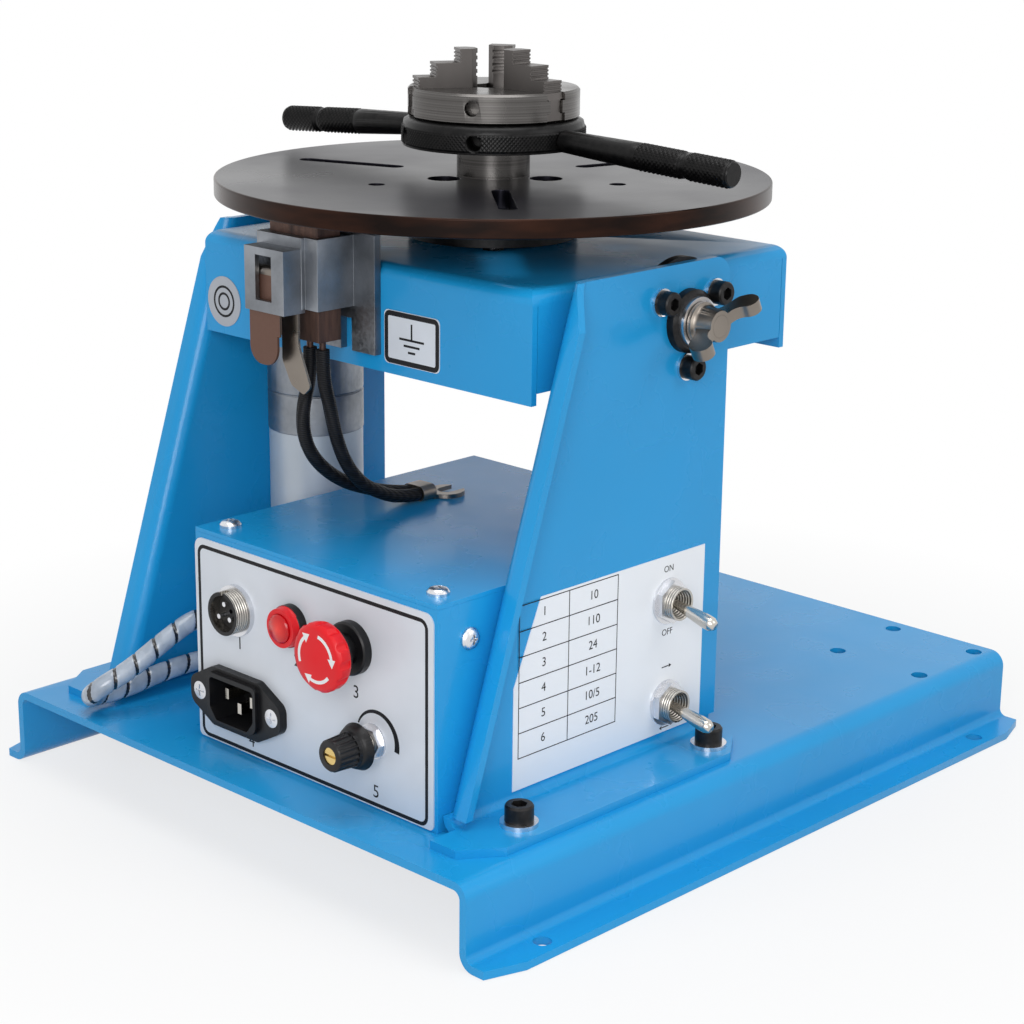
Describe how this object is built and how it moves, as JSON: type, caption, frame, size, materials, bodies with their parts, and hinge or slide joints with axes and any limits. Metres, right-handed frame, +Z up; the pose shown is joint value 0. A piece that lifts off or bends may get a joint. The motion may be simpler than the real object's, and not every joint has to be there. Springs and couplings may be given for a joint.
{
  "type": "welding positioner",
  "caption": "Bench welding positioner: tilting motor-driven turntable with a self-centring jaw chuck, earth brush and control box on a folded steel base.",
  "frame": {"origin": "centre of the base plate on the ground", "axes": "+Z up; +X towards the switch side; +Y from the control panel towards the rear of the base"},
  "size_m": [0.273, 0.312, 0.2762],
  "materials": {
    "blue_paint": "gloss enamel",
    "black_oxide": "black oxide",
    "zinc": "bright zinc plate",
    "polished_steel": "polished nickel",
    "ground_steel": "ground",
    "blued_steel": "blued, with a copper-brown rim",
    "cast_alloy": "die cast",
    "motor_grey": "satin",
    "white_label": "printed film",
    "red_plastic": "gloss",
    "red_lens": "clear red",
    "black_plastic": "moulded",
    "brass": "turned",
    "green_board": "board",
    "copper_graphite": "sintered",
    "black_rubber": "braided sleeve",
    "clear_wrap": "translucent spiral wrap"
  },
  "bodies": {
    "root": {"base_plate": "blue_paint", "bracket_bolts": "black_oxide", "bracket_left": "blue_paint", "bracket_right": "blue_paint", "cable_gland": "black_plastic", "control_board": "green_board", "control_lid": "blue_paint", "control_tray": "blue_paint", "foot_socket": "polished_steel", "inlet_pins": "polished_steel", "lamp_bezel": "red_plastic", "lamp_lens": "red_lens", "motor_cable": "clear_wrap", "panel_nuts": "zinc", "panel_overlay": "white_label", "panel_screws": "zinc", "pivot_bushes": "black_oxide", "pivot_screws": "black_oxide", "power_inlet": "black_plastic", "power_supply": "cast_alloy", "rating_label": "white_label", "speed_pot": "polished_steel", "stop_collar": "black_plastic", "toggle_switches": "zinc", "zinc_washers": "zinc"},
    "head": {"pivot_studs": "zinc", "pivot_locknut": "zinc", "tilt_frame": "blue_paint", "bearing_housing": "cast_alloy", "spindle_bearings": "polished_steel", "motor_mount": "ground_steel", "gearbox": "cast_alloy", "motor_can": "motor_grey", "brush_holder": "cast_alloy", "brush_spring": "zinc", "earth_lead_1": "black_rubber", "earth_lead_2": "black_rubber", "fork_terminal": "zinc", "head_screws": "zinc", "head_labels": "white_label"},
    "table": {"spindle": "black_oxide", "spindle_gear": "ground_steel", "turntable": "blued_steel", "table_screws": "black_oxide", "chuck_body": "ground_steel"},
    "pinion": {"motor_pinion": "ground_steel"},
    "ring": {"scroll_ring": "black_oxide"},
    "jaw_1": {"jaw_1": "ground_steel"},
    "jaw_2": {"jaw_2": "ground_steel"},
    "jaw_3": {"jaw_3": "ground_steel"},
    "bar_right": {"tommy_bar_right": "black_oxide"},
    "bar_left": {"tommy_bar_left": "black_oxide"},
    "wing_nut": {"wing_nut": "zinc"},
    "stop_plunger": {"stop_plunger": "black_plastic"},
    "stop_head": {"stop_head": "red_plastic"},
    "speed_knob": {"speed_knob": "black_plastic", "knob_screw": "brass"},
    "power_lever": {"power_lever": "polished_steel"},
    "direction_lever": {"direction_lever": "polished_steel"},
    "brush": {"earth_brush": "copper_graphite"}
  },
  "joints": [
    {"name": "head_tilt", "type": "hinge", "parent": "root", "child": "head", "pos_m": [0, -0.016, 0.1886], "axis": [-1, 0, 0], "range_deg": [0, 90]},
    {"name": "table_spin", "type": "hinge", "parent": "head", "child": "table", "pos_m": [0, -0.02, 0.2267], "axis": [0, 0, 1], "continuous": true},
    {"name": "motor_output", "type": "hinge", "parent": "head", "child": "pinion", "pos_m": [-0.05614, -0.05073, 0.18], "axis": [0, 0, 1], "continuous": true},
    {"name": "ring_turn", "type": "hinge", "parent": "table", "child": "ring", "pos_m": [0, -0.02, 0.2465], "axis": [0, 0, 1], "range_deg": [-360, 360]},
    {"name": "wing_nut_turn", "type": "hinge", "parent": "head", "child": "wing_nut", "pos_m": [0.1, -0.016, 0.1886], "axis": [1, 0, 0], "range_deg": [0, 360]},
    {"name": "stop_press", "type": "slide", "parent": "root", "child": "stop_plunger", "axis": [0, 1, 0], "range_m": [0, 0.005], "stiffness_N_per_m": 2500},
    {"name": "stop_twist", "type": "hinge", "parent": "stop_plunger", "child": "stop_head", "pos_m": [0.0476, -0.1348, 0.0862], "axis": [0, 1, 0], "range_deg": [0, 45], "stiffness_Nm_per_rad": 0.15},
    {"name": "speed_turn", "type": "hinge", "parent": "root", "child": "speed_knob", "pos_m": [0.0574, -0.1348, 0.0548], "axis": [0, -1, 0], "range_deg": [-135, 135]},
    {"name": "power_switch", "type": "hinge", "parent": "root", "child": "power_lever", "pos_m": [0.0935, -0.0222, 0.087], "axis": [0, -1, 0], "range_deg": [0, 24.8]},
    {"name": "direction_switch", "type": "hinge", "parent": "root", "child": "direction_lever", "pos_m": [0.0935, -0.0222, 0.048], "axis": [0, -1, 0], "range_deg": [0, 24.8]},
    {"name": "brush_slide", "type": "slide", "parent": "head", "child": "brush", "axis": [0, 0, 1], "range_m": [-0.003, 0], "stiffness_N_per_m": 800, "springref_m": 0.004},
    {"name": "jaw_1_slide", "type": "slide", "parent": "table", "child": "jaw_1", "axis": [1, 0, 0], "range_m": [-0.0051, 0.0051]},
    {"name": "jaw_2_slide", "type": "slide", "parent": "table", "child": "jaw_2", "axis": [-0.5, 0.866, 0], "range_m": [-0.0051, 0.0051]},
    {"name": "jaw_3_slide", "type": "slide", "parent": "table", "child": "jaw_3", "axis": [-0.5, -0.866, 0], "range_m": [-0.0051, 0.0051]},
    {"name": "bar_right_pull", "type": "slide", "parent": "ring", "child": "bar_right", "axis": [0.9978, 0.0348, -0.0558], "range_m": [0, 0.012]},
    {"name": "bar_left_pull", "type": "slide", "parent": "ring", "child": "bar_left", "axis": [-0.9978, -0.0348, -0.0558], "range_m": [0, 0.012]}
  ],
  "couplings": [
    {"joint": "motor_output", "follows": "table_spin", "ratio": -3},
    {"joint": "jaw_1_slide", "follows": "ring_turn", "m_per_rad": 0.00079498},
    {"joint": "jaw_2_slide", "follows": "ring_turn", "m_per_rad": 0.00079498},
    {"joint": "jaw_3_slide", "follows": "ring_turn", "m_per_rad": 0.00079498}
  ]
}
